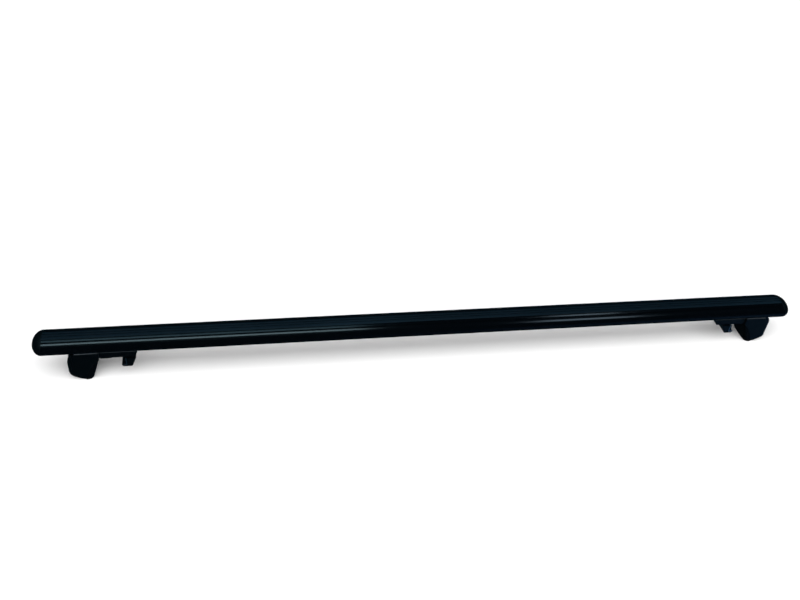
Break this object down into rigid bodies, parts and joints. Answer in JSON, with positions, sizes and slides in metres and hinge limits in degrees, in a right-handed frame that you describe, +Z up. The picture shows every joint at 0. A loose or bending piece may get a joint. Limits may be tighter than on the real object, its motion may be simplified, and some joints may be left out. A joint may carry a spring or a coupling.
{
  "type": "roof rack crossbar",
  "caption": "Black oval roof crossbar with a ribbed rubber strip, rounded end caps and clamping feet for raised side rails, each with a screw-driven jaw and a locking cover.",
  "frame": {"origin": "on the ground plane that the feet stand on, under the middle of the bar", "axes": "+X along the bar, +Y to the rear, +Z up"},
  "size_m": [1.2, 0.048, 0.0724],
  "materials": {
    "black_aluminium": "satin black anodised extrusion",
    "black_plastic": "fine-grained black glass-filled nylon",
    "black_rubber": "matt black rubber",
    "zinc_steel": "bright zinc-plated steel",
    "lock_metal": "nickel-plated lock barrel"
  },
  "bodies": {
    "bar": {"bar_extrusion": "black_aluminium", "top_strip": "black_rubber", "end_cap_left": "black_plastic", "end_cap_right": "black_plastic"},
    "foot_left": {"foot_body_left": "black_plastic", "foot_gasket_left": "black_rubber", "toe_pad_left": "black_rubber", "rail_pads_left": "black_rubber", "clamp_washer_left": "zinc_steel", "screw_clip_left": "zinc_steel", "cover_pin_left": "zinc_steel", "fixing_screw_left": "zinc_steel", "slot_nut_left": "zinc_steel"},
    "clamp_screw_left": {"clamp_screw_left": "zinc_steel"},
    "jaw_left": {"jaw_left": "black_plastic", "hook_plate_left": "zinc_steel", "jaw_pad_left": "black_rubber", "jaw_nut_left": "zinc_steel"},
    "cover_left": {"outer_cover_left": "black_plastic"},
    "lock_left": {"lock_barrel_left": "lock_metal"},
    "foot_right": {"foot_body_right": "black_plastic", "foot_gasket_right": "black_rubber", "toe_pad_right": "black_rubber", "rail_pads_right": "black_rubber", "clamp_washer_right": "zinc_steel", "screw_clip_right": "zinc_steel", "cover_pin_right": "zinc_steel", "fixing_screw_right": "zinc_steel", "slot_nut_right": "zinc_steel"},
    "clamp_screw_right": {"clamp_screw_right": "zinc_steel"},
    "jaw_right": {"jaw_right": "black_plastic", "hook_plate_right": "zinc_steel", "jaw_pad_right": "black_rubber", "jaw_nut_right": "zinc_steel"},
    "cover_right": {"outer_cover_right": "black_plastic"},
    "lock_right": {"lock_barrel_right": "lock_metal"}
  },
  "joints": [
    {"name": "foot_left_slide", "type": "slide", "parent": "bar", "child": "foot_left", "axis": [-1, 0, 0], "range_m": [-0.15, 0.025]},
    {"name": "clamp_screw_left_turn", "type": "hinge", "parent": "foot_left", "child": "clamp_screw_left", "pos_m": [-0.544, 0, 0.0413], "axis": [1, 0, 0], "range_deg": [-1081, 9721]},
    {"name": "jaw_left_slide", "type": "slide", "parent": "foot_left", "child": "jaw_left", "axis": [-1, 0, 0], "range_m": [-0.0024, 0.0216]},
    {"name": "cover_left_hinge", "type": "hinge", "parent": "foot_left", "child": "cover_left", "pos_m": [-0.5494, 0, 0.016], "axis": [0, -1, 0], "range_deg": [0, 95]},
    {"name": "lock_left_turn", "type": "hinge", "parent": "cover_left", "child": "lock_left", "pos_m": [-0.551, 0, 0.027], "axis": [-1, 0, 0], "range_deg": [0, 90]},
    {"name": "foot_right_slide", "type": "slide", "parent": "bar", "child": "foot_right", "axis": [1, 0, 0], "range_m": [-0.15, 0.012]},
    {"name": "clamp_screw_right_turn", "type": "hinge", "parent": "foot_right", "child": "clamp_screw_right", "pos_m": [0.559, 0, 0.0413], "axis": [-1, 0, 0], "range_deg": [-7561, 3241]},
    {"name": "jaw_right_slide", "type": "slide", "parent": "foot_right", "child": "jaw_right", "axis": [1, 0, 0], "range_m": [-0.0168, 0.0072]},
    {"name": "cover_right_hinge", "type": "hinge", "parent": "foot_right", "child": "cover_right", "pos_m": [0.5644, 0, 0.016], "axis": [0, 1, 0], "range_deg": [0, 95]},
    {"name": "lock_right_turn", "type": "hinge", "parent": "cover_right", "child": "lock_right", "pos_m": [0.566, 0, 0.027], "axis": [-1, 0, 0], "range_deg": [0, 90]}
  ],
  "couplings": [
    {"joint": "clamp_screw_left_turn", "follows": "jaw_left_slide", "rad_per_m": 7854},
    {"joint": "clamp_screw_right_turn", "follows": "jaw_right_slide", "rad_per_m": 7854}
  ]
}
